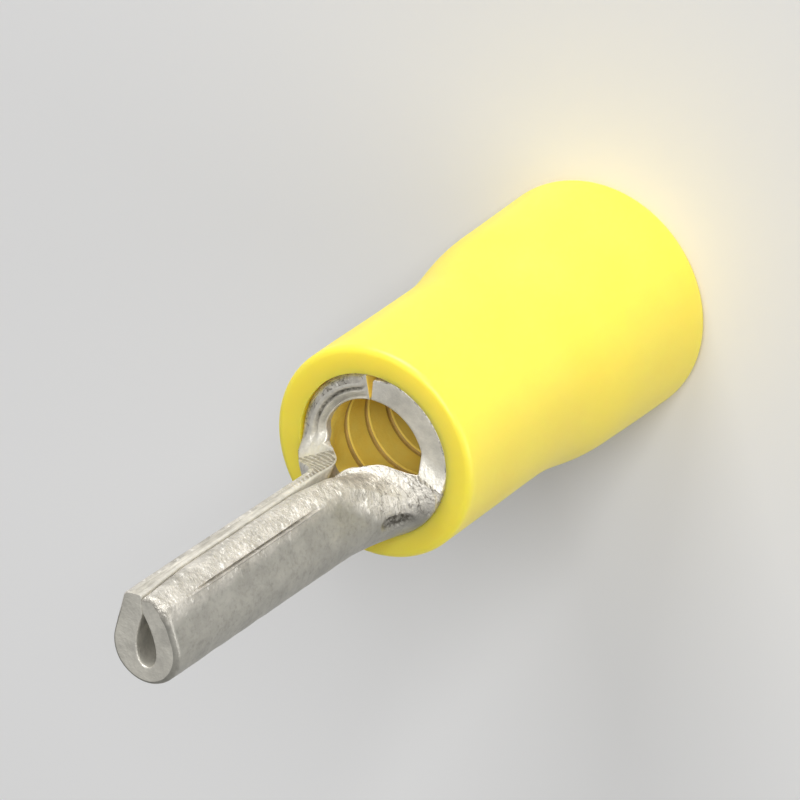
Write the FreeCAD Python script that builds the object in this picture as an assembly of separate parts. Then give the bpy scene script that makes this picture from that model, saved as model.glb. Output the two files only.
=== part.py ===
"""Insulated pin terminal: a folded sheet terminal in a flared insulating sleeve.

Lengths are in millimetres.  The pieces are drawn lying down: X runs along the terminal
towards the pin tip, Z points to the seam, and x = 0 is the front face, where the barrel and
the sleeve end flush.  At the end they are stood on the sleeve's flared mouth, pin up, with
the origin at the centre of the mouth and the seam towards -Y.
"""
import FreeCAD
import Part
import math
import os

# Sheet and wire barrel
sheet = 0.80
wire_bore_dia = 3.40
barrel_len = 6.80
seam_gap_outside = 0.26
seam_gap_inside = 0.06
groove_count = 3
groove_first = 1.28
groove_pitch = 1.12
groove_width = 0.28
groove_depth = 0.12

# Neck between barrel and pin
neck_len = 2.70
edge_neck_len = 2.30
neck_open_angle = 86.0
neck_inset = 0.015
neck_stations = 7

# Pin: a U folded until its edges meet in a seam along the top
pin_tip_x = 11.85
pin_width = 2.20
pin_height = 2.72
pin_drop = 0.25
leg_lean_deg = 17.0
top_corner_r = 0.32
pin_seam = 0.05
void_half_width = 0.31
void_floor = 0.52
void_height = 1.65
tip_chamfer = 0.10

# Insulating sleeve
sleeve_len = 13.05
sleeve_wall = 0.85
mouth_outer_dia = 7.70
flare_outer_dia = 7.56
flare_from = 5.5
flare_to = 9.3
mouth_wall = 0.80
front_round = 0.22
rear_round = 0.42
funnel_clear = 0.15

barrel_ro = wire_bore_dia / 2 + sheet
barrel_ri = wire_bore_dia / 2
pin_bottom = -barrel_ro + pin_drop
pin_top = pin_bottom + pin_height
half_points = 12
walk_steps = 40


def blend(u):
    """Smooth step from 0 to 1."""
    u = min(max(u, 0.0), 1.0)
    return u * u * (3.0 - 2.0 * u)


def arc_points(radius, angle_deg, count):
    """Half of a round outline from its lowest point up to angle_deg, as (y, z)."""
    out = []
    for i in range(count):
        a = math.radians(angle_deg) * i / (count - 1)
        out.append((radius * math.sin(a), -radius * math.cos(a)))
    return out


def walk(start, pieces, count):
    """Points at even spacing along lines and arcs that follow each other.

    Each piece is (length, bend): the heading turns evenly by bend over length.
    """
    total = sum(piece[0] for piece in pieces)
    fine = walk_steps * (count - 1)
    step = total / fine
    y, z = start
    heading = 0.0
    out = [start]
    for i in range(fine):
        at = (i + 0.5) * step
        for length, bend in pieces:
            if at <= length:
                break
            at -= length
        turn = bend / length * step
        heading += turn / 2
        y += step * math.cos(heading)
        z += step * math.sin(heading)
        heading += turn / 2
        if (i + 1) % walk_steps == 0:
            out.append((y, z))
    return out


def pin_outer():
    """Half outline of the pin: round belly, leaning leg, rounded corner, flat to the seam."""
    lean = math.radians(leg_lean_deg)
    belly_r = pin_width / 2
    belly = belly_r * (math.pi / 2 + lean)
    corner_turn = math.pi / 2 - lean
    corner_rise = top_corner_r * (1 - math.sin(lean))
    leg_foot = pin_bottom + belly_r + belly_r * math.sin(lean)
    leg = (pin_top - corner_rise - leg_foot) / math.cos(lean)
    reach = belly_r * math.cos(lean) - leg * math.sin(lean) - top_corner_r * math.cos(lean)
    pieces = [
        (belly, math.pi / 2 + lean),
        (leg, 0.0),
        (top_corner_r * corner_turn, corner_turn),
        (reach - pin_seam / 2, 0.0),
    ]
    return walk((0.0, pin_bottom), pieces, half_points)


def pin_inner():
    """Half outline of the teardrop space in the pin, from its floor up to the seam."""
    out = []
    for i in range(half_points):
        v = i / (half_points - 1)
        rise = void_height * (1 - math.cos(math.pi * v)) / 2
        half = void_half_width * math.sin(math.pi * v) * (1.25 - 0.45 * v)
        y = max(half, pin_seam / 2 * blend(2 * v))
        out.append((y, pin_bottom + void_floor + rise))
    return out


def spline(points, x):
    """Curve through a half outline and its mirror image, at station x."""
    full = [(-y, z) for y, z in reversed(points[1:])] + list(points)
    curve = Part.BSplineCurve()
    spots = [FreeCAD.Vector(x, y, z) for y, z in full]
    curve.interpolate(Points=spots, Parameters=[float(i) for i in range(len(spots))])
    return curve.toShape()


def sheet_section(outer, inner, x):
    """Closed outline of the folded sheet at station x from its two half outlines."""
    outer_edge = spline(outer, x)
    inner_edge = spline(inner, x)
    right = Part.makeLine((x, outer[-1][0], outer[-1][1]), (x, inner[-1][0], inner[-1][1]))
    left = Part.makeLine((x, -inner[-1][0], inner[-1][1]), (x, -outer[-1][0], outer[-1][1]))
    return Part.Wire([outer_edge, right, inner_edge, left])


def neck_section(x):
    """Outline between the open front of the barrel and the closed pin.

    The belly changes slowly all the way, and the sheet's edges swing in early.
    """
    slow = blend(x / neck_len)
    quick = 1.0 - max(0.0, 1.0 - x / edge_neck_len) ** 3
    pairs = [
        (arc_points(barrel_ro - neck_inset, neck_open_angle, half_points), pin_outer()),
        (arc_points(barrel_ri + neck_inset, neck_open_angle, half_points), pin_inner()),
    ]
    halves = []
    for barrel_half, pin_half in pairs:
        half = []
        for i in range(half_points):
            toward_edge = (i / (half_points - 1)) ** 3
            y_share = slow + (quick - slow) * toward_edge
            z_share = slow + (quick - slow) * toward_edge / 2
            a = barrel_half[i]
            b = pin_half[i]
            half.append((a[0] + y_share * (b[0] - a[0]), a[1] + z_share * (b[1] - a[1])))
        halves.append(half)
    return sheet_section(halves[0], halves[1], x)


def tip_section():
    """Outline of the pin's end face, drawn in all round by the chamfer."""
    middle = (pin_top + pin_bottom) / 2
    shrink = 1 - 2 * tip_chamfer / pin_width
    outer = [(y * shrink, middle + (z - middle) * shrink) for y, z in pin_outer()]
    return sheet_section(outer, pin_inner(), pin_tip_x)


def ring(x0, x1, r0, r1):
    """Tube along X from x0 to x1."""
    base = FreeCAD.Vector(x0, 0, 0)
    along = FreeCAD.Vector(1, 0, 0)
    outside = Part.makeCylinder(r1, x1 - x0, base, along)
    inside = Part.makeCylinder(r0, x1 - x0, base, along)
    return outside.cut(inside)


def seam_wedge():
    """Space between the barrel's two butted edges, wider at the outside."""
    inside = seam_gap_inside / 2
    outside = seam_gap_outside / 2
    widen = outside - inside
    high = barrel_ro + sheet
    right = [(inside, 0.0), (inside, barrel_ri), (outside + widen, high)]
    left = [(-y, z) for y, z in reversed(right)]
    back = -barrel_len - sheet
    outline = [FreeCAD.Vector(back, y, z) for y, z in right + left + right[:1]]
    return Part.Face(Part.makePolygon(outline)).extrude(FreeCAD.Vector(2 * sheet - back, 0, 0))


def pin_terminal():
    """Wire barrel with seam and grooves, open neck and folded pin, in one solid."""
    barrel = ring(-barrel_len, 0.0, barrel_ri, barrel_ro)
    barrel = barrel.cut(seam_wedge())
    for i in range(groove_count):
        x = -groove_first - i * groove_pitch
        low = barrel_ri - groove_depth
        high = barrel_ri + groove_depth
        barrel = barrel.cut(ring(x - groove_width / 2, x + groove_width / 2, low, high))
    sections = []
    for i in range(neck_stations):
        sections.append(neck_section(neck_len * i / (neck_stations - 1)))
    neck = Part.makeLoft(sections, True, False)
    run = FreeCAD.Vector(pin_tip_x - tip_chamfer - neck_len, 0, 0)
    shank = Part.Face(sections[-1]).extrude(run)
    tip = Part.makeLoft([sections[-1].translated(run), tip_section()], True, True)
    return barrel.fuse([neck, shank, tip]).Solids[0]


def sleeve_profile():
    """Half section of the sleeve in the XZ plane."""
    bore_r = barrel_ro
    front_r = bore_r + sleeve_wall
    mouth_r = mouth_outer_dia / 2
    flare_r = flare_outer_dia / 2
    reach = (flare_to - flare_from) * 0.45
    slope = (mouth_r - flare_r) / (sleeve_len - flare_to)
    outer = Part.BezierCurve()
    outer.setPoles([
        FreeCAD.Vector(-flare_from, 0, front_r),
        FreeCAD.Vector(-flare_from - reach, 0, front_r),
        FreeCAD.Vector(-flare_to + reach, 0, flare_r - slope * reach),
        FreeCAD.Vector(-flare_to, 0, flare_r),
    ])
    entry_r = mouth_r - mouth_wall
    inner = Part.BezierCurve()
    inner_start = -barrel_len - funnel_clear
    inner.setPoles([
        FreeCAD.Vector(-flare_to, 0, entry_r),
        FreeCAD.Vector(-flare_to + reach * 0.6, 0, entry_r),
        FreeCAD.Vector(inner_start - reach * 0.4, 0, bore_r),
        FreeCAD.Vector(inner_start, 0, bore_r),
    ])
    a = front_round
    b = rear_round
    a_mid = a * (1 - math.sqrt(0.5))
    b_mid = b * (1 - math.sqrt(0.5))
    edges = [
        Part.makeLine((0, 0, bore_r), (0, 0, front_r - a)),
        Part.Arc(FreeCAD.Vector(0, 0, front_r - a), FreeCAD.Vector(-a_mid, 0, front_r - a_mid),
                 FreeCAD.Vector(-a, 0, front_r)).toShape(),
        Part.makeLine((-a, 0, front_r), (-flare_from, 0, front_r)),
        outer.toShape(),
        Part.makeLine((-flare_to, 0, flare_r), (-sleeve_len + b, 0, mouth_r)),
        Part.Arc(FreeCAD.Vector(-sleeve_len + b, 0, mouth_r),
                 FreeCAD.Vector(-sleeve_len + b_mid, 0, mouth_r - b_mid),
                 FreeCAD.Vector(-sleeve_len, 0, mouth_r - b)).toShape(),
        Part.makeLine((-sleeve_len, 0, mouth_r - b), (-sleeve_len, 0, entry_r)),
        Part.makeLine((-sleeve_len, 0, entry_r), (-flare_to, 0, entry_r)),
        inner.toShape(),
        Part.makeLine((inner_start, 0, bore_r), (0, 0, bore_r)),
    ]
    return Part.Wire(edges)


def insulating_sleeve():
    """Moulded sleeve: straight over the barrel, flared at the wire entry."""
    face = Part.Face(sleeve_profile())
    return face.revolve(FreeCAD.Vector(0, 0, 0), FreeCAD.Vector(1, 0, 0), 360)


def stand(shape):
    """Turns a lying piece onto the sleeve's mouth: X to +Z, Y to -X and Z to -Y."""
    turn = FreeCAD.Matrix(0, -1, 0, 0, 0, 0, -1, 0, 1, 0, 0, sleeve_len, 0, 0, 0, 1)
    shape.Placement = FreeCAD.Placement(turn)
    return shape


os.makedirs("parts", exist_ok=True)
stand(pin_terminal()).exportStep("parts/pin_terminal.step")
stand(insulating_sleeve()).exportStep("parts/insulating_sleeve.step")
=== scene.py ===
"""Dressed model of an insulated pin terminal, standing on its flared mouth.

Shapes are worked out lying down, in millimetres: x runs along the terminal to the pin tip with
x = 0 at the front face, y runs across and z points to the seam.  place() stands them up in the
row frame, in metres.
"""
import math

import bpy
from mathutils import Matrix, Vector, noise


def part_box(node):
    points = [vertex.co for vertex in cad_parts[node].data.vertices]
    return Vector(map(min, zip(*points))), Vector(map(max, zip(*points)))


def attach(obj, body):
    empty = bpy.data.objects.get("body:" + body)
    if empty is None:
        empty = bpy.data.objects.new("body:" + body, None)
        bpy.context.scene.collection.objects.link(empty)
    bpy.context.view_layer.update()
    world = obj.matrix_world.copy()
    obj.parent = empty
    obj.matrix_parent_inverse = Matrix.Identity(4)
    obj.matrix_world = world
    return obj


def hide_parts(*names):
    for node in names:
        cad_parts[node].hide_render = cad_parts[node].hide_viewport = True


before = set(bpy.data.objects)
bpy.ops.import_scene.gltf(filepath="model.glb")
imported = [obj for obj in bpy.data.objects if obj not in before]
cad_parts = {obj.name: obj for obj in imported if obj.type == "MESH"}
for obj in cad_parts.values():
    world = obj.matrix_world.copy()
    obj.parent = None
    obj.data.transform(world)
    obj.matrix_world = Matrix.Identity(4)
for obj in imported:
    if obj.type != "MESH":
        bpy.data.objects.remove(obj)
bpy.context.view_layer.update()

MM = 0.001

# The two sides of the seam, as the sign of y
LEFT = -1
RIGHT = 1

# The two parts of the sheet: LOWER carries on into the pin, UPPER ends at the front face
LOWER = 0
UPPER = 1

# Places of the sheet's materials in its list
SKIN, BORE, FACE, GROOVE, CUT = range(5)

# Sizes that the frame gives
sleeve_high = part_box("insulating_sleeve")[1]
metal_low, metal_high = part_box("pin_terminal")
sleeve_len = sleeve_high[2] / MM
mouth_r = sleeve_high[0] / MM
barrel_len = sleeve_len - metal_low[2] / MM
barrel_ro = metal_high[0] / MM
pin_tip_x = metal_high[2] / MM - sleeve_len

# Sheet and wire barrel; a groove's slope is where it starts and how long it is, in half widths
sheet = 0.80
barrel_ri = barrel_ro - sheet
barrel_mid = barrel_ro - sheet / 2
seam_half_out = 0.13
seam_half_in = 0.03
seam_bevel_part = 0.06
groove_places = (-1.28, -2.40, -3.52)
groove_half = 0.12
groove_depth = 0.11
groove_slope = (1.15, 0.3)
edge_round = 0.05

# Neck; angles go round the barrel from its lowest line
neck_len = 2.70
outer_open_deg = {LEFT: 78.0, RIGHT: 79.0}
inner_open_deg = {LEFT: 90.0, RIGHT: 96.0}
left_edge_reach = 2.0
right_edge_from = 0.25
right_edge_reach = 1.55
corner_fillet = {LEFT: 0.45, RIGHT: 0.25}
fillet_fade = 3
lip_height = 0.20
lip_reach = 0.9

# Rolled edge on the right of the neck: a hump that thins towards the pin, with a dip in front
hump_round = 0.95
hump_rise = 0.15
hump_thins_from = 1.2
hump_thins_over = 3.2
hump_thins_by = 0.88
sag_at = 0.22
sag_over = 0.45
sag_depth = 0.38

# Pin
pin_width = 2.20
pin_height = 2.72
pin_drop = 0.25
pin_rise = 0.0225
pin_level_at = 7.0
leg_lean_deg = 17.0
left_corner_r = 0.16
right_corner_r = 0.10
right_corner_deg = 44.0
right_slope_len = 0.46
top_bend_r = 0.30
seam_y = -0.20
pin_seam = 0.008
pin_edge_round = 0.03
pin_bottom = -barrel_ro + pin_drop
pin_top = pin_bottom + pin_height

# Rounded rim of the tip: as wide as this on the right, half as wide on the left, and wider at the
# shoulder; the first number after it is how steeply it widens from the belly's middle
tip_round = 0.18
tip_side = 3
tip_crest_part = 0.12

# The seam wanders to the right at the tip; parts are shares of the outline up to the edge
seam_drift = 0.15
drift_from = 9.4
drift_over = 2.4
drift_part = 0.76
drift_part_over = 0.24

# Teardrop space in the pin
void_half_width = 0.31
void_floor = 0.52
void_height = 1.65
void_part = 0.8
void_bulge = 1.35
void_taper = 0.6

# Crease along the pin's right shoulder, with a ridge beside it; places are shares of the outline
crease_from = 3.6
crease_to = 10.9
crease_height = 0.11
crease_at = 0.010
crease_width = 0.014
crease_fade = 1.5
ridge_at = -0.005
ridge_width = 0.012
ridge_share = 0.8
# Painted shade in the crease: how dark, how wide, and how steeply it fades along x
crease_shade = 0.4
crease_shade_width = 0.010
crease_shade_fade = 2.5

# Gouge low on the right of the neck: size along x in mm and round the neck in degrees
gouge_x = 1.0
gouge_deg = 42.5
gouge_tilt = -12.0
gouge_size = (0.60, 6.5)
gouge_depth = 0.12
gouge_steepness = 2.4

# Front ring: rolled rim, darkened hollow and bevel on the left, fallen corner on the right.  Places
# across the ring are shares from outside to inside, and a fade is how steeply a mark ends
# towards the neck and towards the seam
rolled_round = 0.30
rolled_fade = (5, 9)
hollow_at = 0.40
hollow_width = 0.2
hollow_depth = 0.11
bevel_at = 0.5
bevel_depth = 0.16
relief_fade = (6, 8)
hollow_dark_fade = (4, 6)
hollow_dark_late = 0.4
bevel_from = {LEFT: -0.25, RIGHT: -0.12}
seam_fall = 0.13
seam_fall_part = 0.8
seam_fall_part_over = 0.2
seam_fall_len = 1.5

# Unevenness of the surfaces: size, amount and seed
small_dents = (0.7, 0.016, 5.0)
small_dents_from = -0.3
small_dents_over = 0.6
wide_dents = (2.0, 0.02, 8.0)
wide_dents_over = 1.0
sleeve_dents = (2.6, 0.016, 3.0)

# Grid of the sheet: rows along x, columns round it and layers through it
layers = 12
front_gaps = (0.01, 0.03, 0.06, 0.10, 0.15, 0.21, 0.28, 0.36, 0.46, 0.58, 0.72, 0.88)
groove_spots = (-1.6, -1.15, -1.0, -0.85, -0.6, 0.0, 0.6, 0.85, 1.0, 1.15, 1.6)
groove_gap = 0.5
plain_from = -4.3
plain_step = 0.25
plain_rows = 10
rear_gaps = (0.0, 0.01, 0.03, 0.06, 0.12)
neck_rows = 60
pin_rows = 80
pin_rows_end = 0.28
tip_gaps = (0.22, 0.17, 0.13, 0.09, 0.06, 0.035, 0.015, 0.005, 0.0)
edge_parts = (0.95, 0.965, 0.98, 0.99, 0.996, 1.0)
lower_part = 0.94
lower_columns = 46
upper_columns = 26
crest_gaps = (-0.018, -0.012, -0.008, -0.004, 0.0, 0.004, 0.008, 0.012, 0.016, 0.022, 0.03)

# Limits on rounding: further than any rounding reaches, and the most it takes of the thickness
out_of_reach = 9.0
most_outside = 0.92
most_inside = 0.45

# Sleeve
sleeve_front_r = 3.35
sleeve_bore_r = barrel_ro
flare_from = 5.5
flare_to = 9.3
flare_r = 3.78
flare_bend = 0.45
funnel_bends = (0.6, 0.4)
funnel_clear = 0.15
mouth_wall = 0.80
front_round = 0.22
rear_round = 0.42
mouth_inner_round = 0.12
soft_wall = 0.3
soft_mouth = 0.6
lathe_steps = 192

# Colours of finishes and of painted light and shade: from dark to pale, or from one shade to the other
WHITE = (1.0, 1.0, 1.0)
BLACK = (0.0, 0.0, 0.0)
vinyl_yellow = ((0.96, 0.71, 0.06), (0.99, 0.76, 0.08))
# Painted light: the tin inside the barrel is a bright amber, as if lit by yellow light inside it
bore_amber_lit = ((1.0, 0.75, 0.13), (1.0, 0.80, 0.17))
# Painted shade: the grooves in the barrel are a darker amber, as if in shadow
groove_amber_shaded = ((0.46, 0.31, 0.09), (0.66, 0.46, 0.14))
face_tin = ((0.56, 0.54, 0.48), (0.80, 0.77, 0.68))
cut_tin = ((0.62, 0.59, 0.51), (0.88, 0.84, 0.74))
# Painted shade and light on the sheet's outside: the sides a darker grey, the top paler as if lit
side_tin_shaded = ((0.31, 0.30, 0.265), (0.44, 0.425, 0.375))
top_tin_lit = ((0.44, 0.415, 0.36), (0.82, 0.78, 0.70))
glint_tin = (1.0, 0.97, 0.90)
crack_shade = (0.38, 0.37, 0.35)
wear_shade = (0.62, 0.62, 0.62)
line_shade = (0.45, 0.43, 0.40)
hatch_shade = (0.52, 0.50, 0.45)
speck_shade = (0.35, 0.35, 0.35)
# Darkest colour of the painted shade in the crease and gouge, and of the darker rim hollow
darkening_colour = (0.20, 0.19, 0.17)
glint_share = (0.9, 0.9, 0.9)
floor_grey = (0.80, 0.80, 0.80, 1.0)

# How finishes stretch along the part, and where the top starts, with its painted light and its marks
even = (1, 1, 1)
lengthwise = (1, 1, 0.3)
top_from = -0.35
top_to = 0.25
neck_reach = 1.3
hatch_scale = 2.3
hatch_deg = -50.0
stroke_deg = 35.0

# Camera, as read off the photograph for the lying part
view_azimuth_deg = 32.739
view_elevation_deg = 24.492
view_roll_deg = -2.067
view_distance = 177.155
focal_px = 6104.6
front_centre_px = (372.57, 453.67)
frame_px = 800
sensor_mm = 36.0

# Lamps: direction as shares of the picture's right, up and back, then distance and size in
# metres and power in watts
lamps = {
    "key_lamp": ((-0.15, 1.0, 0.55), 0.8, 0.42, 7.0),
    "fill_lamp": ((0.9, -0.2, 0.5), 0.6, 0.4, 2.1),
    "front_lamp": ((-0.1, 0.05, 1.0), 0.6, 0.2, 1.8),
}
lamp_aim = (0, 0, 0.012)
surround_strength = 0.30
floor_half = 2.0


def place(x, y, z):
    """Lying millimetres to the standing row frame in metres."""
    return Vector((-y, -z, x + sleeve_len)) * MM


def turned(vector):
    """Lying direction to the row frame."""
    return Vector((-vector[1], -vector[2], vector[0]))


def ease(u):
    """Smooth step from 0 to 1."""
    u = min(max(u, 0.0), 1.0)
    return u * u * (3.0 - 2.0 * u)


def bump_at(distance, width):
    """1 at distance 0, falling smoothly to 0 at width."""
    return ease(1.0 - abs(distance) / width)


def fade_along(x, start, end, over):
    """1 between two places along x, falling smoothly to 0 at both."""
    return ease((x - start) / over) * ease((end - x) / over)


def fade_ends(part, steepness):
    """1 within a run from 0 to 1, falling to 0 at its ends, each with its own steepness."""
    return ease(part * steepness[0]) * ease((1 - part) * steepness[1])


def partway(first, second, share):
    """Point at a share of the way from the first to the second."""
    return tuple(a + (b - a) * share for a, b in zip(first, second))


def scaled(point, factor):
    """Point moved away from the axis by a factor."""
    return [value * factor for value in point]


def follow(path, start, part=1.0):
    """Point (y, z) at a fraction of a path of (length, bend) pieces that starts level."""
    left = part * sum(length for length, bend in path)
    y, z = start
    heading = 0.0
    for length, bend in path:
        run = min(left, length)
        if run <= 0.0:
            break
        turn = bend * run / length
        if bend:
            r = length / bend
            y += r * (math.sin(heading + turn) - math.sin(heading))
            z += r * (math.cos(heading) - math.cos(heading + turn))
        else:
            y += run * math.cos(heading)
            z += run * math.sin(heading)
        heading += turn
        left -= run
    return y, z


def pin_outer_paths():
    """Half outlines of the pin as (length, bend) pieces, left and right of the belly's middle.

    The left leg ends at its corner, with its cut edge as the top.  The right leg turns over a
    crisp corner and slopes up to the seam, which lies left of the middle.
    """
    lean = math.radians(leg_lean_deg)
    start = (0.0, pin_bottom)
    belly = (pin_width / 2 * (math.pi / 2 + lean), math.pi / 2 + lean)
    left_turn = math.pi / 2 - lean
    right_turn = math.radians(right_corner_deg)
    top_turn = left_turn - right_turn
    after_leg = {
        LEFT: [(left_corner_r * left_turn, left_turn)],
        RIGHT: [
            (right_corner_r * right_turn, right_turn),
            (right_slope_len, 0.0),
            (top_bend_r * top_turn, top_turn),
        ],
    }
    paths = {}
    for side, after in after_leg.items():
        end = follow([belly] + after, start)
        leg = (pin_top - end[1]) / math.cos(lean)
        paths[side] = [belly, (leg, 0.0)] + after
    end = follow(paths[RIGHT], start)
    paths[RIGHT].append((end[0] - seam_y - pin_seam / 2, 0.0))
    return paths


outer_paths = pin_outer_paths()
outer_len = sum(length for length, bend in outer_paths[RIGHT])
crest_part = sum(length for length, bend in outer_paths[RIGHT][:2]) / outer_len


def pin_outer(side, part):
    """Point on the pin's outside on one side, at a fraction from belly to edge."""
    return follow(outer_paths[side], (0.0, pin_bottom), part)


def pin_inner(side, part):
    """Point on the teardrop space; on the left it carries on up the seam to the top."""
    void_end = void_part if side == LEFT else 1.0
    q = min(part / void_end, 1.0)
    up = (1 - math.cos(math.pi * q)) / 2
    half = void_bulge * void_half_width * math.sin(math.pi * q) * (1 - up) ** void_taper
    z = pin_bottom + void_floor + void_height * up
    if part > void_end:
        z += (part - void_end) / (1 - void_end) * (pin_top - z)
    middle = side * seam_y * up
    return middle + max(half, pin_seam / 2 * ease(2 * part)), z


def round_off(distance, radius):
    """How far a rounded edge has dropped at this distance from the edge."""
    if distance >= radius:
        return 0.0
    q = 1.0 - distance / radius
    return radius * (1.0 - math.sqrt(max(0.0, 1.0 - q * q)))


def wobble(x, y, z, size, amount, seed):
    """Small seeded unevenness of a surface."""
    return amount * noise.noise(Vector((x / size + seed, y / size, z / size)))


class Sheet:
    """The folded sheet as a grid of rows along x and columns from belly to edge on each side.

    Columns up to the neck's edge run from the barrel to the pin tip.  The rest stop at the
    barrel's front face, so that the barrel's upper part is open to the neck.
    """

    def __init__(self):
        self.rows = self.row_places()
        self.front = self.rows.index(0.0)
        self.columns = self.column_places()
        self.verts = []
        self.faces = []
        self.kinds = []
        self.darkening_values = []
        self.index = {}

    def row_places(self):
        """Stations along x, close together at edges, grooves and in the neck."""
        rows = [0.0]
        rows += [-gap for gap in front_gaps]
        for centre in groove_places:
            rows += [centre + q * groove_half for q in groove_spots]
            rows.append(centre - groove_gap)
        rows += [plain_from - i * plain_step for i in range(plain_rows)]
        rows += [-barrel_len + gap for gap in rear_gaps]
        neck_step = neck_len / neck_rows
        rows += [i * neck_step for i in range(1, neck_rows + 1)]
        span = pin_tip_x - neck_len - pin_rows_end
        rows += [neck_len + span * i / pin_rows for i in range(1, pin_rows + 1)]
        rows += [pin_tip_x - gap for gap in tip_gaps]
        return sorted(rows)

    def column_places(self):
        """(side, zone, part) from the left edge over the belly to the right edge."""
        lower = [lower_part * i / lower_columns for i in range(lower_columns + 1)]
        lower += edge_parts
        lower += [crest_part + gap for gap in crest_gaps]
        lower.sort()
        upper = [edge_parts[0] * i / upper_columns for i in range(1, upper_columns + 1)]
        upper += edge_parts[1:]
        right = [(RIGHT, LOWER, part) for part in lower] + [(RIGHT, UPPER, part) for part in upper]
        left = [(LEFT, LOWER, part) for part in lower[1:]] + [(LEFT, UPPER, part) for part in upper]
        return left[::-1] + right

    def exists(self, i, j):
        """Whether the sheet has a point at this row and column."""
        return self.columns[j][1] == LOWER or self.rows[i] <= 0.0

    def from_corner(self, side, zone, part):
        """Distance round the barrel from the corner where the neck's cut edge starts."""
        open_turn = math.radians(inner_open_deg[side])
        if zone == LOWER:
            return (1.0 - part) * open_turn * barrel_mid
        return part * (math.pi - open_turn) * barrel_mid

    def shift(self, x, side, zone, part):
        """Carries the front edge forward near the neck's corner, as a fillet."""
        fillet = corner_fillet[side]
        q = max(0.0, 1.0 - self.from_corner(side, zone, part) / fillet)
        fade = ease(1.0 - abs(x) / (fillet_fade * fillet))
        return x + fillet * q * q * fade

    def shell(self, x, side, zone, part, radius, open_deg, pin_point, edge_share):
        """Point (y, z) of the sheet's outside or inside, on the right-hand half."""
        open_turn = math.radians(open_deg)
        if zone == LOWER:
            turn = open_turn * part
        else:
            seam_turn = math.asin(seam_half_in / barrel_mid)
            turn = open_turn + part * (math.pi - open_turn - seam_turn)
        y = radius * math.sin(turn)
        z = -radius * math.cos(turn)
        if x > 0.0 and zone == LOWER:
            slow = ease(x / neck_len)
            more = (edge_share - slow) * part ** 3
            goal = pin_point(side, part)
            y += (slow + more) * (goal[0] - y)
            z += (slow + more / 2) * (goal[1] - z)
            z += slow * pin_rise * (x - pin_level_at)
        if x > 0.0 and side == RIGHT:
            sag = ease(x / sag_at) * (1 - ease((x - sag_at) / sag_over))
            depth = sag_depth if radius < barrel_mid else sag_depth / 2
            z -= depth * sag * (part ** 2 if zone == LOWER else 1.0)
        return [y, z]

    def shells(self, xs, side, zone, part):
        """Outer and inner point (y, z) of the sheet before edges are rounded."""
        slow = ease(xs / neck_len)
        left = 1.0 - max(0.0, 1.0 - xs / left_edge_reach) ** 2
        later = max(0.0, xs - right_edge_from)
        right = 1.0 - max(0.0, 1.0 - later / right_edge_reach) ** 3
        outer = self.shell(xs, side, zone, part, barrel_ro, outer_open_deg[side], pin_outer,
                           slow if side == LEFT else right)
        inner = self.shell(xs, side, zone, part, barrel_ri, inner_open_deg[side], pin_inner,
                           left if side == LEFT else right)
        if zone == UPPER:
            outer[0] += (seam_half_out - seam_half_in) * bump_at(1.0 - part, seam_bevel_part)
        for centre in groove_places:
            within = groove_half * groove_slope[0] - abs(xs - centre)
            depth = groove_depth * ease(within / (groove_half * groove_slope[1]))
            inner = scaled(inner, 1 + depth / barrel_ri)
        if side == LEFT:
            near_corner = ease(1 - self.from_corner(side, zone, part) / lip_reach)
            lip = lip_height * near_corner * ease(1 - abs(xs) / lip_reach)
            inner = scaled(inner, 1 - lip / barrel_ri)
        return outer, inner

    def gouged(self, xs, side, part):
        """1 in the gouge on the right of the neck, falling to 0 round it."""
        beside = side * outer_open_deg[side] * part - gouge_deg - gouge_tilt * (xs - gouge_x)
        off = math.hypot((xs - gouge_x) / gouge_size[0], beside / gouge_size[1])
        return ease(gouge_steepness * (1.0 - off))

    def darkening(self, x, side, zone, part, q):
        """Share of darkening: painted shade in the crease and the gouge, and darker in the left rim's
        hollow.

        q is the share of the way through the sheet, from outside to inside.
        """
        if zone == UPPER:
            if side == RIGHT or x < 0.0:
                return 0.0
            from_neck = ease(part * hollow_dark_fade[0] - hollow_dark_late)
            from_seam = ease((1 - part) * hollow_dark_fade[1])
            return bump_at(q - hollow_at, hollow_width) * from_neck * from_seam
        if side == LEFT or q > 0.0:
            return 0.0
        crease = bump_at(part - crest_part - crease_at, crease_shade_width)
        crease *= fade_along(x, crease_from, crease_to, crease_shade_fade)
        # Painted shade along the crease and in the gouge's dent
        return max(crease_shade * crease, self.gouged(x, side, part))

    def creased(self, xs, part):
        """How far the crease beside the right shoulder takes the outside in."""
        away = part - crest_part
        crease = bump_at(away - crease_at, crease_width)
        crease -= ridge_share * bump_at(away - ridge_at, ridge_width)
        return crease_height * crease * fade_along(xs, crease_from, crease_to, crease_fade)

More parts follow.
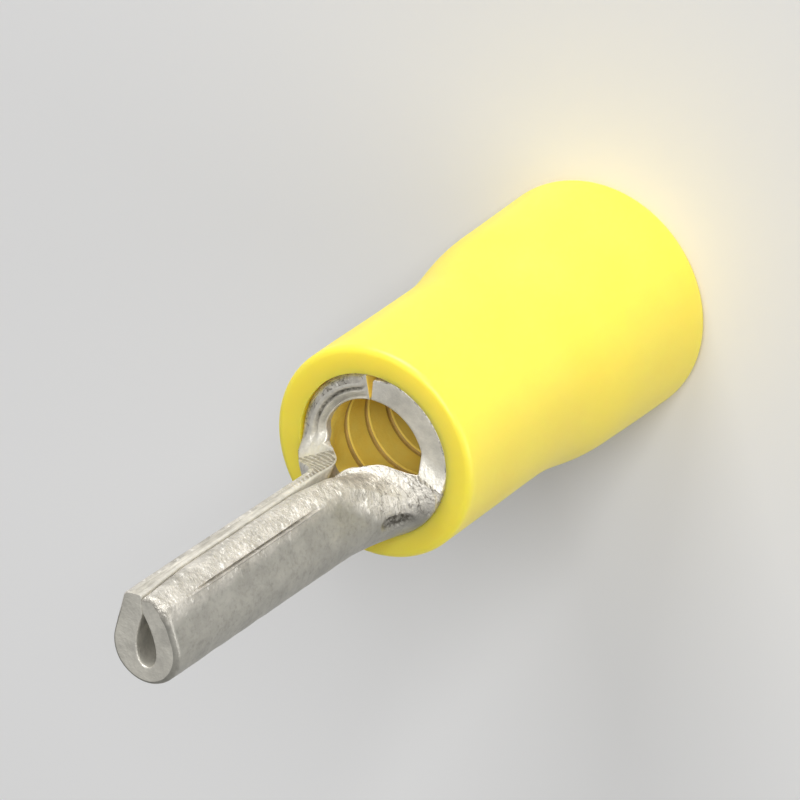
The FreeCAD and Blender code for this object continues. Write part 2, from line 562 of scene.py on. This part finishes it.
    def drops(self, x, xs, side, zone, part):
        """How far rounded edges and marks take the outside and the inside of the sheet in."""
        if zone == LOWER:
            to_edge = (1.0 - part) * outer_len
            if x < 0.0:
                to_edge = math.hypot(x, to_edge)
            to_front = out_of_reach
        else:
            to_edge = (1.0 - part) * math.radians(180 - outer_open_deg[side]) * barrel_mid
            to_front = -x
        rolled = edge_round
        edge = edge_round + pin_edge_round * ease(x / neck_len)
        inner_edge = edge
        if zone == UPPER and side == LEFT:
            rolled += (rolled_round - edge_round) * fade_ends(part, rolled_fade)
        if zone == LOWER and side == RIGHT:
            thinned = 1 - hump_thins_by * ease((x - hump_thins_from) / hump_thins_over)
            edge += (hump_round - edge) * ease(x / hump_rise) * thinned
        to_end = min(xs + barrel_len, pin_tip_x - x)
        end_round = tip_round / 2
        if x > 0.0 and side == RIGHT:
            end_round *= 1.0 + ease(part * tip_side) + bump_at(part - crest_part, tip_crest_part)
        out = max(round_off(to_edge, edge), round_off(to_front, rolled), round_off(to_end, end_round))
        inn = max(round_off(to_edge, inner_edge), round_off(to_front, edge_round),
                  round_off(to_end, edge_round))
        if side == RIGHT and zone == UPPER:
            near_seam = ease((part - seam_fall_part) / seam_fall_part_over)
            out += seam_fall * near_seam * ease(1.0 + x / seam_fall_len)
        if side == RIGHT and zone == LOWER:
            out += self.creased(xs, part)
        return out, inn

    def dented(self, xs, side, zone, part, outer):
        """How far unevenness and the gouge take the outside in."""
        where = (xs, side * outer[0], outer[1])
        uneven = wobble(*where, *small_dents) * ease((xs - small_dents_from) / small_dents_over)
        uneven += wobble(*where, *wide_dents) * ease(xs / wide_dents_over)
        if zone == LOWER:
            return abs(uneven) + gouge_depth * self.gouged(xs, side, part)
        return abs(uneven)

    def surfaces(self, x, side, zone, part):
        """Outer and inner point (x, y, z) of the sheet, with edges rounded."""
        xs = self.shift(x, side, zone, part)
        outer, inner = self.shells(xs, side, zone, part)
        fall_out, fall_in = self.drops(x, xs, side, zone, part)
        fall_out += self.dented(xs, side, zone, part, outer)
        thick = math.hypot(outer[0] - inner[0], outer[1] - inner[1])
        out = partway(outer, inner, min(fall_out / thick, most_outside))
        inn = partway(inner, outer, min(fall_in / thick, most_inside))
        drift = seam_drift * ease((xs - drift_from) / drift_over) * (1 - zone)
        out_drift = drift * ease((part - drift_part) / drift_part_over) if side == RIGHT else 0.0
        in_drift = drift * ease(part / void_part)
        return (xs, side * out[0] + out_drift, out[1]), (xs, side * inn[0] + in_drift, inn[1])

    def front_relief(self, side, part, q):
        """Forward offset across the barrel's front face; the left half has a rim and a bevel."""
        if side == RIGHT:
            return 0.0
        hollow = hollow_depth * bump_at(q - hollow_at, hollow_width)
        bevel = bevel_depth * ease((q - bevel_at) / (1 - bevel_at))
        return -fade_ends(part, relief_fade) * (hollow + bevel)

    def vert(self, i, j, layer):
        """Index of the vertex at a row, a column and a layer, which is made at its first use."""
        key = (i, j, layer)
        if key not in self.index:
            side, zone, part = self.columns[j]
            out, inn = self.surfaces(self.rows[i], side, zone, part)
            q = layer / layers
            x, y, z = partway(out, inn, q)
            if zone == UPPER and i == self.front and 0 < layer < layers:
                x += self.front_relief(side, part, q)
            self.index[key] = len(self.verts)
            self.verts.append(place(x, y, z))
            self.darkening_values.append(self.darkening(self.rows[i], side, zone, part, q))
        return self.index[key]

    def cell(self, i, j):
        """Whether the sheet has a cell between this row and column and the next ones."""
        if not (0 <= i < len(self.rows) - 1 and 0 <= j < len(self.columns) - 1):
            return False
        corners = ((i, j), (i + 1, j), (i, j + 1), (i + 1, j + 1))
        return all(self.exists(a, b) for a, b in corners)

    def rim(self, first, second, kind=FACE):
        """Faces through the sheet along a free edge, from one grid point to the next."""
        for layer in range(layers):
            self.faces.append((
                self.vert(*first, layer),
                self.vert(*second, layer),
                self.vert(*second, layer + 1),
                self.vert(*first, layer + 1),
            ))
            self.kinds.append(kind)

    def inside_kind(self, x, side):
        """Material of the sheet's inside at a place along x."""
        if x > bevel_from[side]:
            return FACE
        if any(abs(x - centre) < groove_half for centre in groove_places):
            return GROOVE
        return BORE

    def add_cell(self, i, j):
        """Both surfaces of one cell, and the rims on its free sides."""
        ring = ((i, j), (i + 1, j), (i + 1, j + 1), (i, j + 1))
        middle = (self.rows[i] + self.rows[i + 1]) / 2
        self.faces.append([self.vert(a, b, 0) for a, b in ring])
        self.kinds.append(SKIN)
        self.faces.append([self.vert(a, b, layers) for a, b in reversed(ring)])
        self.kinds.append(self.inside_kind(middle, self.columns[j][0]))
        if not self.cell(i - 1, j):
            self.rim((i, j), (i, j + 1))
        if not self.cell(i + 1, j):
            self.rim((i + 1, j + 1), (i + 1, j))
        seam_kind = CUT if middle > 0.0 else BORE
        if not self.cell(i, j - 1):
            self.rim((i + 1, j), (i, j), seam_kind)
        if not self.cell(i, j + 1):
            self.rim((i, j + 1), (i + 1, j + 1), seam_kind)

    def build(self, name):
        """Closed mesh of the sheet, with its darkening as a value on each vertex: painted shade in the
        crease and the gouge, darker in the left rim's hollow.
        """
        for i in range(len(self.rows) - 1):
            for j in range(len(self.columns) - 1):
                if self.cell(i, j):
                    self.add_cell(i, j)
        obj = new_mesh(name, self.verts, self.faces, self.kinds)
        darkening = obj.data.attributes.new("darkening", "FLOAT", "POINT")
        darkening.data.foreach_set("value", self.darkening_values)
        return obj


def new_mesh(name, verts, faces, kinds=None, sharp_deg=40.0):
    """Object from vertices in the row frame and faces, shaded smooth up to an angle."""
    mesh = bpy.data.meshes.new(name)
    mesh.from_pydata([tuple(v) for v in verts], [], faces)
    mesh.validate()
    if kinds:
        mesh.polygons.foreach_set("material_index", kinds)
    mesh.polygons.foreach_set("use_smooth", [True] * len(mesh.polygons))
    mesh.set_sharp_from_angle(angle=math.radians(sharp_deg))
    mesh.update()
    obj = bpy.data.objects.new(name, mesh)
    bpy.context.scene.collection.objects.link(obj)
    return obj


def straight(first, last, steps, start=1):
    """Points in even steps from first to last; a start of 0 takes first in."""
    return [
        tuple(a + (b - a) * i / steps for a, b in zip(first, last))
        for i in range(start, steps + 1)
    ]


def curve(a, b, c, d, steps):
    """Points along the cubic curve with these four handles, without its first end."""
    out = []
    for i in range(1, steps + 1):
        u = i / steps
        v = 1.0 - u
        out.append(tuple(v ** 3 * p + 3 * v * v * u * q + 3 * v * u * u * r + u ** 3 * s
                         for p, q, r, s in zip(a, b, c, d)))
    return out


def quarter(steps, start=1):
    """Points of a quarter turn of radius 1, for rounding the corner between two faces.

    A point is its distance gone from the face that it leaves, and ahead to the next face.
    """
    out = []
    for i in range(start, steps + 1):
        a = math.pi / 2 * i / steps
        out.append((1 - math.cos(a), 1 - math.sin(a)))
    return out


def sleeve_outline():
    """Closed half section (x, r) of the sleeve, front face first."""
    entry_r = mouth_r - mouth_wall
    reach = (flare_to - flare_from) * flare_bend
    slope = (mouth_r - flare_r) / (sleeve_len - flare_to)
    funnel_end = -barrel_len - funnel_clear
    out = straight((0.0, sleeve_bore_r), (0.0, sleeve_front_r - front_round), steps=4, start=0)
    out += [(-front_round * gone, sleeve_front_r - front_round * ahead)
            for gone, ahead in quarter(steps=10)]
    out += straight((-front_round, sleeve_front_r), (-flare_from, sleeve_front_r), steps=12)
    out += curve((-flare_from, sleeve_front_r), (-flare_from - reach, sleeve_front_r),
                 (-flare_to + reach, flare_r - slope * reach), (-flare_to, flare_r), steps=24)
    out += straight((-flare_to, flare_r), (-sleeve_len + rear_round, mouth_r), steps=10)
    out += [(-sleeve_len + rear_round * ahead, mouth_r - rear_round * gone)
            for gone, ahead in quarter(steps=10)]
    out.append((-sleeve_len, (mouth_r + entry_r - rear_round) / 2))
    out += [(-sleeve_len + mouth_inner_round * gone, entry_r + mouth_inner_round * ahead)
            for gone, ahead in quarter(steps=6, start=0)]
    out += straight((-sleeve_len + mouth_inner_round, entry_r), (-flare_to, entry_r), steps=8)
    out += curve((-flare_to, entry_r), (-flare_to + reach * funnel_bends[0], entry_r),
                 (funnel_end - reach * funnel_bends[1], sleeve_bore_r),
                 (funnel_end, sleeve_bore_r), steps=16)
    out += straight((funnel_end, sleeve_bore_r), (0.0, sleeve_bore_r), steps=12)[:-1]
    return out


def make_sleeve():
    """The sleeve turned about its axis, with the slight unevenness of soft vinyl."""
    outline = sleeve_outline()
    verts = []
    for x, r in outline:
        soft = ease((r - sleeve_bore_r) / soft_wall) * ease((x + sleeve_len) / soft_mouth)
        for k in range(lathe_steps):
            a = 2 * math.pi * k / lathe_steps
            y = r * math.sin(a)
            z = r * math.cos(a)
            dip = soft * (wobble(x, y, z, *sleeve_dents) - sleeve_dents[1])
            verts.append(place(x, y * (1 + dip / r), z * (1 + dip / r)))
    faces = []
    for i in range(len(outline)):
        here = i * lathe_steps
        below = (i + 1) % len(outline) * lathe_steps
        for k in range(lathe_steps):
            n = (k + 1) % lathe_steps
            faces.append((here + k, here + n, below + n, below + k))
    obj = new_mesh("sleeve_moulding", verts, faces)
    obj.data.flip_normals()
    return obj


def material(name):
    """New node material, with its node tree and its shader."""
    mat = bpy.data.materials.new(name)
    mat.use_nodes = True
    return mat, mat.node_tree, mat.node_tree.nodes["Principled BSDF"]


def node(tree, kind, **values):
    """Adds a node; values are socket names with spaces as underscores, or node properties."""
    n = tree.nodes.new(kind)
    for key, value in values.items():
        name = key.replace("_", " ")
        if name in n.inputs:
            n.inputs[name].default_value = value
        else:
            setattr(n, key, value)
    return n


def object_point(tree):
    """Object coordinates of the shaded point."""
    return node(tree, "ShaderNodeTexCoord").outputs["Object"]


def spot(tree, stretch=even, turn_deg=0.0):
    """Object coordinates in millimetres, turned about y, then stretched along x, y and z."""
    mapping = node(tree, "ShaderNodeMapping", vector_type="TEXTURE")
    mapping.inputs["Scale"].default_value = [MM / s for s in stretch]
    mapping.inputs["Rotation"].default_value = (0.0, math.radians(turn_deg), 0.0)
    tree.links.new(object_point(tree), mapping.inputs["Vector"])
    return mapping.outputs["Vector"]


def noise_map(tree, places, scale, detail, roughness):
    """Noise in object space; returns its grey output."""
    n = node(tree, "ShaderNodeTexNoise", Scale=scale, Detail=detail, Roughness=roughness)
    tree.links.new(places, n.inputs["Vector"])
    return n.outputs["Fac"]


def ramp(tree, source, stops):
    """Colour ramp over a grey source; stops are (place, colour)."""
    r = node(tree, "ShaderNodeValToRGB")
    while len(r.color_ramp.elements) < len(stops):
        r.color_ramp.elements.new(0.5)
    for element, (where, colour) in zip(r.color_ramp.elements, stops):
        element.position = where
        element.color = (*colour, 1.0)
    tree.links.new(source, r.inputs["Fac"])
    return r.outputs["Color"]


def spread(tree, source, low, high):
    """Maps a grey source from 0..1 to low..high."""
    m = node(tree, "ShaderNodeMapRange", To_Min=low, To_Max=high)
    tree.links.new(source, m.inputs["Value"])
    return m.outputs["Result"]


def smooth_range(tree, source, start, end):
    """Grey output that rises smoothly from 0 to 1 while the source goes from start to end."""
    m = node(tree, "ShaderNodeMapRange", interpolation_type="SMOOTHSTEP", From_Min=start, From_Max=end)
    tree.links.new(source, m.inputs["Value"])
    return m.outputs["Result"]


def bump(tree, height, distance, strength, below=None):
    """Bump from a height, on top of an earlier bump; the distance is in mm."""
    b = node(tree, "ShaderNodeBump", Strength=strength, Distance=distance * MM)
    tree.links.new(height, b.inputs["Height"])
    if below:
        tree.links.new(below, b.inputs["Normal"])
    return b.outputs["Normal"]


def colour_mix(tree, **values):
    """Mix node for colours; returns its share, first and second inputs and its colour output."""
    m = node(tree, "ShaderNodeMix", data_type="RGBA", **values)
    return m.inputs[0], m.inputs[6], m.inputs[7], m.outputs[2]


def mix(tree, share, first, second):
    """Mixes two colour outputs by a grey share."""
    share_in, first_in, second_in, result = colour_mix(tree)
    tree.links.new(share, share_in)
    tree.links.new(first, first_in)
    tree.links.new(second, second_in)
    return result


def towards(tree, share, first, colour):
    """Mixes a colour output towards a fixed colour by a grey share."""
    share_in, first_in, second_in, result = colour_mix(tree)
    second_in.default_value = (*colour, 1.0)
    tree.links.new(share, share_in)
    tree.links.new(first, first_in)
    return result


def darkened(tree, colour, shade, share):
    """A colour multiplied by a shade, by a fixed share."""
    share_in, first_in, second_in, result = colour_mix(tree, blend_type="MULTIPLY")
    share_in.default_value = share
    tree.links.new(colour, first_in)
    tree.links.new(shade, second_in)
    return result


def product(tree, first, second):
    """Product of two grey outputs."""
    m = node(tree, "ShaderNodeMath", operation="MULTIPLY")
    tree.links.new(first, m.inputs[0])
    tree.links.new(second, m.inputs[1])
    return m.outputs[0]


def axis_value(tree, axis):
    """Object coordinate along one axis of the row frame."""
    parts = node(tree, "ShaderNodeSeparateXYZ")
    tree.links.new(object_point(tree), parts.inputs["Vector"])
    return parts.outputs[axis]


def near_barrel(tree, far, near):
    """Grey mask that rises from 0 to 1 between two distances, in mm, from the front face."""
    return smooth_range(tree, axis_value(tree, "Z"), (sleeve_len + far) * MM, (sleeve_len + near) * MM)


def seam_side(tree, low, high, neck):
    """Grey mask that rises from 0 to 1 between two heights, in mm, towards the seam side.

    Where the neck mask is 1 it reaches further down, over the bent part of the sheet.
    """
    lowered = node(tree, "ShaderNodeMath", operation="MULTIPLY_ADD")
    lowered.inputs[1].default_value = -neck_reach * MM
    tree.links.new(neck, lowered.inputs[0])
    tree.links.new(axis_value(tree, "Y"), lowered.inputs[2])
    return smooth_range(tree, lowered.outputs[0], -low * MM, -high * MM)


def darken_where_marked(tree, colour):
    """A colour darkened in specks where the mesh's darkening value is high: painted shade in the
    crease and the gouge, darker in the left rim's hollow.
    """
    specks = noise_map(tree, spot(tree), scale=9.0, detail=3.0, roughness=0.6)
    patchy = ramp(tree, specks, [(0.42, WHITE), (0.60, speck_shade)])
    painted = node(tree, "ShaderNodeAttribute", attribute_name="darkening")
    amount = product(tree, painted.outputs["Fac"], patchy)
    shade = ramp(tree, amount, [(0.0, WHITE), (1.0, darkening_colour)])
    return darkened(tree, colour, shade, 1.0)


def tin_material(name, shades, metal, rough, stretch, grain):
    """Satin finish inside the sheet: mottled, with fine scratches one way and small pits."""
    mat, tree, shader = material(name)
    dark, pale = shades
    shader.inputs["Metallic"].default_value = metal
    mottled = noise_map(tree, spot(tree), scale=1.1, detail=6.0, roughness=0.68)
    colour = ramp(tree, mottled, [(0.35, dark), (0.65, pale)])
    streaks = noise_map(tree, spot(tree, stretch), scale=3.0, detail=4.0, roughness=0.7)
    tree.links.new(darken_where_marked(tree, colour), shader.inputs["Base Color"])
    tree.links.new(spread(tree, streaks, rough - 0.12, rough + 0.14), shader.inputs["Roughness"])
    fine = bump(tree, streaks, distance=0.06, strength=grain)
    pits = noise_map(tree, spot(tree), scale=9.0, detail=3.0, roughness=0.6)
    pitted = bump(tree, pits, distance=0.025, strength=grain * 0.8, below=fine)
    tree.links.new(pitted, shader.inputs["Normal"])
    return mat


def top_marks(tree, colour, strokes, neck, top):
    """A colour with dark cracks where the sheet is bent at the neck, and glints all along the top."""
    lines = noise_map(tree, spot(tree, (0.4, 0.4, 2.2)), scale=3.0, detail=4.0, roughness=0.6)
    cracks = ramp(tree, lines, [(0.445, BLACK), (0.47, WHITE), (0.495, BLACK)])
    cracked = product(tree, product(tree, cracks, neck), top)
    dark = ramp(tree, cracked, [(0.0, WHITE), (1.0, crack_shade)])
    glints = ramp(tree, strokes, [(0.57, BLACK), (0.67, glint_share)])
    bright = product(tree, glints, top)
    return towards(tree, bright, darkened(tree, colour, dark, 1.0), glint_tin)


def skin_material():
    """The sheet's outside: smooth and grey at the sides, brushed, crazed and paler on top; the darker
    sides are painted shade and the paler top is painted light.
    """
    mat, tree, shader = material("tin_skin")
    shader.inputs["Metallic"].default_value = 0.6
    neck = near_barrel(tree, far=3.4, near=1.0)
    top = seam_side(tree, top_from, top_to, neck)
    mottled = noise_map(tree, spot(tree), scale=1.3, detail=6.0, roughness=0.7)
    # Painted shade and light: a darker grey at the sides, paler towards the top
    side_shaded_grey = ramp(tree, mottled, [(0.3, side_tin_shaded[0]), (0.7, side_tin_shaded[1])])
    pale = ramp(tree, mottled, [(0.32, top_tin_lit[0]), (0.68, top_tin_lit[1])])
    specks = noise_map(tree, spot(tree), scale=7.0, detail=3.0, roughness=0.6)
    worn = ramp(tree, specks, [(0.30, wear_shade), (0.50, WHITE)])
    strokes = noise_map(tree, spot(tree, (0.5, 0.5, 1.0), stroke_deg), scale=5.0, detail=5.0,
                        roughness=0.7)
    plain = darkened(tree, mix(tree, top, side_shaded_grey, pale), worn, 0.45)
    marked = top_marks(tree, plain, strokes, neck, top)
    tree.links.new(darken_where_marked(tree, marked), shader.inputs["Base Color"])
    tree.links.new(spread(tree, strokes, low=0.30, high=0.55), shader.inputs["Roughness"])
    grain = noise_map(tree, spot(tree, (1, 1, 0.25)), scale=6.0, detail=3.0, roughness=0.6)
    soft = bump(tree, grain, distance=0.03, strength=0.5)
    rough = bump(tree, product(tree, strokes, top), distance=0.08, strength=0.7, below=soft)
    pits = noise_map(tree, spot(tree), scale=10.0, detail=2.0, roughness=0.5)
    pitted = bump(tree, product(tree, pits, top), distance=0.03, strength=0.7, below=rough)
    tree.links.new(pitted, shader.inputs["Normal"])
    return mat


def cut_material():
    """The sheet's sheared edge: streaked along the pin, hatched with slanting lines at the neck."""
    mat, tree, shader = material("tin_cut")
    shader.inputs["Metallic"].default_value = 0.5
    mottled = noise_map(tree, spot(tree), scale=1.1, detail=6.0, roughness=0.68)
    colour = ramp(tree, mottled, [(0.35, cut_tin[0]), (0.65, cut_tin[1])])
    streaks = noise_map(tree, spot(tree, (3.0, 3.0, 0.25)), scale=3.0, detail=4.0, roughness=0.7)
    lines = ramp(tree, streaks, [(0.38, line_shade), (0.60, WHITE)])
    hatch = node(tree, "ShaderNodeTexWave", Scale=hatch_scale, Distortion=3.5, Detail=2.0)
    tree.links.new(spot(tree, even, hatch_deg), hatch.inputs["Vector"])
    hatched = product(tree, hatch.outputs["Fac"], near_barrel(tree, far=4.2, near=2.4))
    slants = ramp(tree, hatched, [(0.15, WHITE), (0.85, hatch_shade)])
    shaded = darkened(tree, darkened(tree, colour, lines, 0.6), slants, 0.8)
    tree.links.new(shaded, shader.inputs["Base Color"])
    tree.links.new(spread(tree, streaks, low=0.28, high=0.52), shader.inputs["Roughness"])
    fine = bump(tree, streaks, distance=0.06, strength=0.8)
    sheared = bump(tree, hatched, distance=0.04, strength=1.0, below=fine)
    tree.links.new(sheared, shader.inputs["Normal"])
    return mat


def vinyl_material():
    """Soft gloss yellow vinyl, slightly translucent, faintly clouded."""
    mat, tree, shader = material("yellow_vinyl")
    cloud = noise_map(tree, spot(tree), scale=0.35, detail=3.0, roughness=0.5)
    colour = ramp(tree, cloud, [(0.25, vinyl_yellow[0]), (0.75, vinyl_yellow[1])])
    tree.links.new(colour, shader.inputs["Base Color"])
    shader.inputs["Roughness"].default_value = 0.42
    shader.inputs["Specular IOR Level"].default_value = 0.8
    shader.inputs["Subsurface Weight"].default_value = 0.8
    shader.inputs["Subsurface Radius"].default_value = (1.0, 0.85, 0.20)
    shader.inputs["Subsurface Scale"].default_value = 1.0 * MM
    skin = noise_map(tree, spot(tree), scale=3.2, detail=4.0, roughness=0.55)
    tree.links.new(bump(tree, skin, distance=0.012, strength=0.35), shader.inputs["Normal"])
    return mat


def sheet_materials():
    """Materials of the sheet, in the order SKIN, BORE, FACE, GROOVE, CUT."""
    return [
        skin_material(),
        # The bore's bright amber, with no metal sheen, is painted light
        tin_material("tin_bore", bore_amber_lit, metal=0.0, rough=0.42, stretch=lengthwise, grain=0.4),
        tin_material("tin_face", face_tin, metal=0.5, rough=0.42, stretch=even, grain=0.6),
        # The grooves' darker amber is painted shade
        tin_material("tin_groove", groove_amber_shaded, metal=0.0, rough=0.5, stretch=lengthwise, grain=0.4),
        cut_material(),
    ]


def dress_part():
    """Builds both pieces, gives them their materials and stands them for the CAD nodes."""
    metal = Sheet().build("terminal_sheet")
    for mat in sheet_materials():
        metal.data.materials.append(mat)
    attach(metal, "root")
    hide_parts("pin_terminal")
    sleeve = make_sleeve()
    sleeve.data.materials.append(vinyl_material())
    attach(sleeve, "root")
    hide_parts("insulating_sleeve")


def make_floor():
    """Plain pale floor under the standing part."""
    corners = ((-1, -1), (1, -1), (1, 1), (-1, 1))
    verts = [(floor_half * x, floor_half * y, 0) for x, y in corners]
    floor = new_mesh("floor", verts, [(0, 1, 2, 3)])
    mat, _, shader = material("pale_floor")
    shader.inputs["Base Color"].default_value = floor_grey
    shader.inputs["Roughness"].default_value = 0.7
    floor.data.materials.append(mat)


def make_camera():
    """Camera at the photograph's view, worked out for the lying part and then turned.

    Returns the picture's right, up and back in the row frame.
    """
    azimuth = math.radians(view_azimuth_deg)
    height = math.radians(view_elevation_deg)
    roll = math.radians(view_roll_deg)
    level = math.cos(height)
    back = Vector((level * math.cos(azimuth), level * math.sin(azimuth), math.sin(height)))
    right = Vector((0, 0, 1)).cross(back).normalized()
    up = back.cross(right)
    image_right = math.cos(roll) * right + math.sin(roll) * up
    image_up = -math.sin(roll) * right + math.cos(roll) * up
    off_x = (front_centre_px[0] - frame_px / 2) * view_distance / focal_px
    off_y = (frame_px / 2 - front_centre_px[1]) * view_distance / focal_px
    stand_mm = view_distance * back - off_x * image_right - off_y * image_up
    axes = [turned(v) for v in (image_right, image_up, back)]
    data = bpy.data.cameras.new("photo_view")
    data.sensor_width = sensor_mm
    data.lens = focal_px / frame_px * sensor_mm
    data.clip_start = 0.01
    data.clip_end = 10.0
    camera = bpy.data.objects.new("photo_view", data)
    turn = Matrix(axes).transposed().to_4x4()
    camera.matrix_world = Matrix.Translation(place(*stand_mm)) @ turn
    bpy.context.scene.collection.objects.link(camera)
    bpy.context.scene.camera = camera
    return axes


def soft_lamp(name, direction, distance, size, power):
    """Square area lamp that looks at the part from a direction in the row frame."""
    data = bpy.data.lights.new(name, "AREA")
    data.shape = "SQUARE"
    data.size = size
    data.energy = power
    lamp = bpy.data.objects.new(name, data)
    aim = direction.normalized()
    lamp.location = Vector(lamp_aim) + aim * distance
    lamp.rotation_euler = aim.to_track_quat("Z", "Y").to_euler()
    bpy.context.scene.collection.objects.link(lamp)


def make_light(axes):
    """Large soft key from the picture's top, weak fill and front lamps, even surround."""
    for name, (shares, distance, size, power) in lamps.items():
        direction = sum((share * axis for share, axis in zip(shares, axes)), Vector())
        soft_lamp(name, direction, distance, size, power)
    world = bpy.data.worlds.new("surround")
    world.use_nodes = True
    background = world.node_tree.nodes["Background"]
    background.inputs["Color"].default_value = (1, 1, 1, 1)
    background.inputs["Strength"].default_value = surround_strength
    bpy.context.scene.world = world


dress_part()
make_floor()
make_light(make_camera())
bpy.context.scene.view_settings.view_transform = "Standard"
